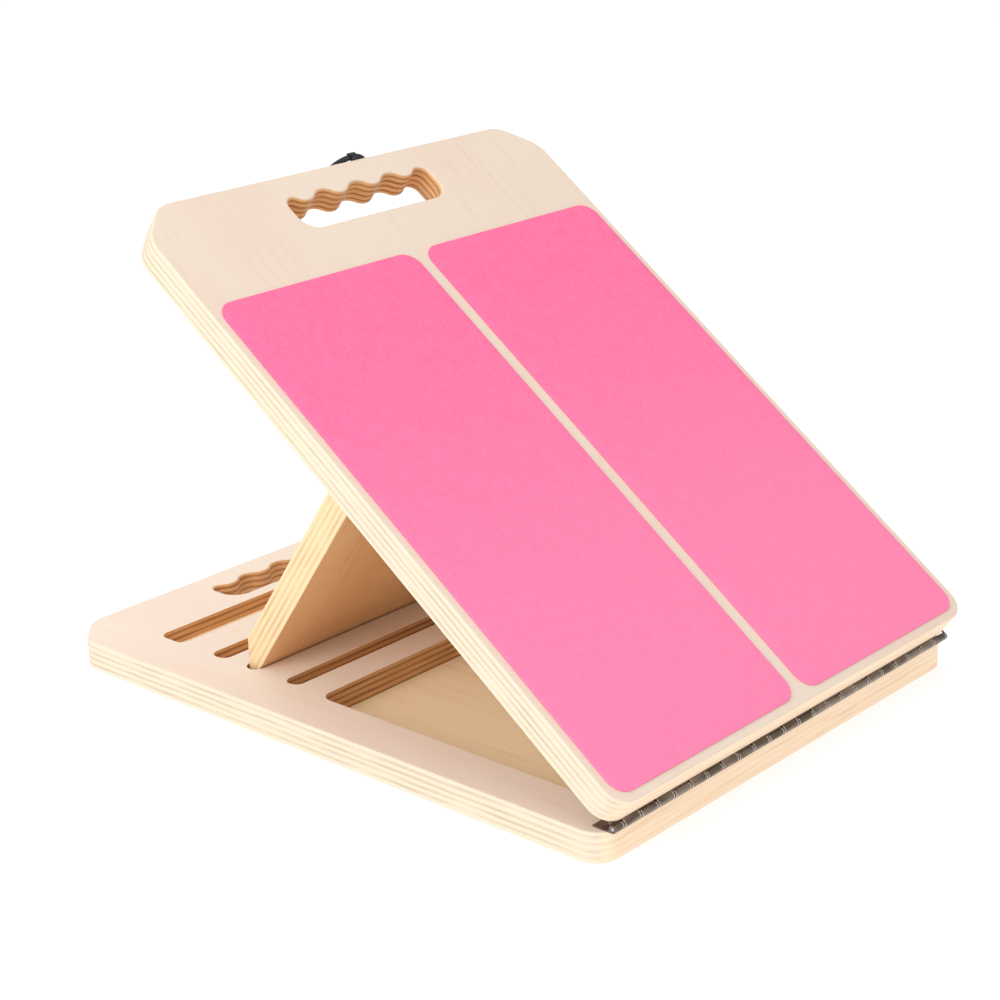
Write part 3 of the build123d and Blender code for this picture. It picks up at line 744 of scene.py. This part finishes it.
def black(name, colour, roughness, dust_colour, dust_share, pebble):
    """A black finish with dust lying on it and a fine pebble in its surface."""
    material, tree, shader = new_material(name)
    coordinates = tree.nodes.new("ShaderNodeTexCoord")
    cloud = noise(tree, coordinates.outputs["Object"], CLOUD_SCALE, 4.0, 0.65)
    dust = ramp(tree, cloud, *DUST_RANGE, 0.0, dust_share)
    wire(tree, mix_colours(tree, dust, colour, dust_colour), shader.inputs["Base Color"])
    uneven = ramp(tree, cloud, *CLOUD_RANGE, roughness - GLOSS_BELOW, roughness + GLOSS_ABOVE)
    wire(tree, uneven, shader.inputs["Roughness"])
    pebbles = noise(tree, coordinates.outputs["Object"], PEBBLE_SCALE, 1.0)
    roughen(tree, shader, pebbles, PEBBLE_BUMP, pebble)
    return material


dress("closing_ring", black("ring_rubber", RUBBER_BLACK, 0.62, RUBBER_DUST, 0.5, 0.00004))
dress("ring_hanger", black("hanger_paint", PAINT_BLACK, 0.36, PAINT_DUST, 0.35, 0.00002))

# %% [markdown]
# ## Grit
#
# The grip sheets are plastic film with fine grit under the colour. Each grain is a tiny rounded
# lump, so the relief is the distance to the nearest of many scattered points, turned upside down.
# A slower noise makes some lumps taller. The colour is a little paler on the tops, and the sheets
# are washed out a little towards the front, where heels have rubbed them.

# %% Group: grit
GRAIN_SOFTNESS = 0.6
GRAIN_RANGE = (0.08, 0.62)
TALL_PATCHES = 420.0
TALL_SHARE = 1.1
LEAST_HEIGHT = 0.25
MOTTLE_SCALE = 150.0

grit_group, source, sink = new_group(
    "grit",
    [("Place", "NodeSocketVector", None), ("Grains per metre", "NodeSocketFloat", 900.0)],
    [("Height", "NodeSocketFloat"), ("Mottle", "NodeSocketFloat")],
)
cells = grit_group.nodes.new("ShaderNodeTexVoronoi")
cells.feature = "SMOOTH_F1"
cells.inputs["Smoothness"].default_value = GRAIN_SOFTNESS
wire(grit_group, source.outputs["Place"], cells.inputs["Vector"])
wire(grit_group, source.outputs["Grains per metre"], cells.inputs["Scale"])
lumps = ramp(grit_group, cells.outputs["Distance"], *GRAIN_RANGE, 1.0, 0.0)
uneven = noise(grit_group, source.outputs["Place"], TALL_PATCHES, 3.0, 0.7)
tallness = math_node(grit_group, "MULTIPLY_ADD", uneven, TALL_SHARE, LEAST_HEIGHT)
height = times(grit_group, lumps, tallness)
mottle = noise(grit_group, source.outputs["Place"], MOTTLE_SCALE, 5.0, 0.75)
wire(grit_group, height, sink.inputs["Height"])
wire(grit_group, mottle, sink.inputs["Mottle"])

# %% Grip sheet finish
PINK = (0.93, 0.165, 0.345, 1)
PINK_PALE = (0.96, 0.24, 0.43, 1)
PINK_DEEP = (0.86, 0.115, 0.275, 1)
PINK_WASHED = (0.97, 0.30, 0.50, 1)
SHEETS_REAR = 0.06
SHEETS_FRONT = -0.20
PALE_SHARE = 0.55
WASHED_SHARE = 0.42
DEEP_RANGE = (0.35, 0.65)
DEEP_SHARE = 0.5
GRIT_ROUGHNESS = (0.62, 0.44)
GRIT_SPECULAR = 0.3
GRIT_BUMP = 0.45
GRIT_RELIEF = 0.00016


def grip_sheet():
    """Pink gritty plastic, slightly paler on the tops of its grains."""
    material, tree, shader = new_material("pink_grit")
    coordinates = tree.nodes.new("ShaderNodeTexCoord")
    grit = place_group(tree, grit_group, place=coordinates.outputs["Object"])
    deep = ramp(tree, grit.outputs["Mottle"], *DEEP_RANGE, 0.0, DEEP_SHARE)
    colour = mix_colours(tree, deep, PINK, PINK_DEEP)
    colour = mix_colours(tree, times(tree, grit.outputs["Height"], PALE_SHARE), colour, PINK_PALE)
    toward_rear = split(tree, coordinates.outputs["Object"])["Y"]
    washed = ramp(tree, toward_rear, SHEETS_FRONT, SHEETS_REAR, WASHED_SHARE, 0.0)
    colour = mix_colours(tree, washed, colour, PINK_WASHED)
    wire(tree, colour, shader.inputs["Base Color"])
    rough = ramp(tree, grit.outputs["Height"], 0.0, 1.0, *GRIT_ROUGHNESS)
    wire(tree, rough, shader.inputs["Roughness"])
    shader.inputs["Specular IOR Level"].default_value = GRIT_SPECULAR
    roughen(tree, shader, grit.outputs["Height"], GRIT_BUMP, GRIT_RELIEF)
    return material


pink_grit = grip_sheet()

# %% [markdown]
# ## The grip sheets as surfaces
#
# A die cut the sheets with round corners, and its pressure rolled their rims down. A rounded
# rectangle is a path: a point on it is a corner's centre plus the corner's radius along a direction
# that turns once round. The sheet is that path carried inwards and upwards along a profile: up the
# rim, over a quarter circle, and in to the middle.

# %% Grip sheet surfaces
RIM_RADIUS = 0.00045
SHEET_CORNER = 0.011
CORNER_STEPS = 14
RIM_STEPS = 6


def rounded_path(half_x, half_y, radius):
    """Points round a rounded rectangle, each a corner centre + radius * direction, and the directions."""
    turn = np.linspace(0, pi / 2, CORNER_STEPS)
    angles = np.concatenate([turn + quarter * pi / 2 for quarter in range(4)])
    outward = np.column_stack([np.cos(angles), np.sin(angles)])
    signs = np.repeat([(1, 1), (-1, 1), (-1, -1), (1, -1)], CORNER_STEPS, axis=0)
    centres = signs * (half_x - radius, half_y - radius)
    return centres + radius * outward, outward


def sheet_surface(name, node):
    """A die-cut sheet filling a CAD node's place: inset and rise follow a quarter circle at the rim."""
    vertices = np.array([v.co for v in frame["nodes"][node].data.vertices])
    origin, slope = BOARD_FRAMES["deck_board"]
    along = np.array([0, cos(slope), sin(slope)])
    normal = np.array(up_from(slope))
    local = np.column_stack([vertices[:, 0], (vertices - origin) @ along, (vertices - origin) @ normal])
    low, high = local.min(0), local.max(0)
    middle_x, middle_y = (low[:2] + high[:2]) / 2
    half_x, half_y = (high[:2] - low[:2]) / 2
    path, outward = rounded_path(half_x, half_y, SHEET_CORNER)
    bend = np.linspace(0, pi / 2, RIM_STEPS)
    inset = np.concatenate([[0], RIM_RADIUS * (1 - np.cos(bend)), [SHEET_CORNER]])
    rise = np.concatenate([[low[2]], high[2] - RIM_RADIUS * (1 - np.sin(bend)), [high[2]]])
    rings = path[None] - inset[:, None, None] * outward[None]
    count = len(path)
    flat = rings.reshape(-1, 2) + (middle_x, middle_y)
    raised = np.repeat(rise, count)
    points = np.array(origin) + flat[:, :1] * (1, 0, 0) + flat[:, 1:] * along + raised[:, None] * normal
    faces = []
    for ring in range(len(rise) - 1):
        start = np.arange(count) + ring * count
        following = (np.arange(count) + 1) % count + ring * count
        faces += np.column_stack([start, following, following + count, start + count]).tolist()
    faces.append((np.arange(count) + (len(rise) - 1) * count).tolist())
    faces.append(np.arange(count)[::-1].tolist())
    mesh = bpy.data.meshes.new(name)
    mesh.from_pydata(points.tolist(), [], faces)
    mesh.shade_smooth()
    mesh.materials.append(pink_grit)
    piece = bpy.data.objects.new(name, mesh)
    bpy.context.scene.collection.objects.link(piece)
    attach(piece, "deck")
    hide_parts(node)
    print(name, "has", len(points), "points and", len(faces), "faces")


sheet_surface("grip_sheet_left", "grip_pad_left")
sheet_surface("grip_sheet_right", "grip_pad_right")
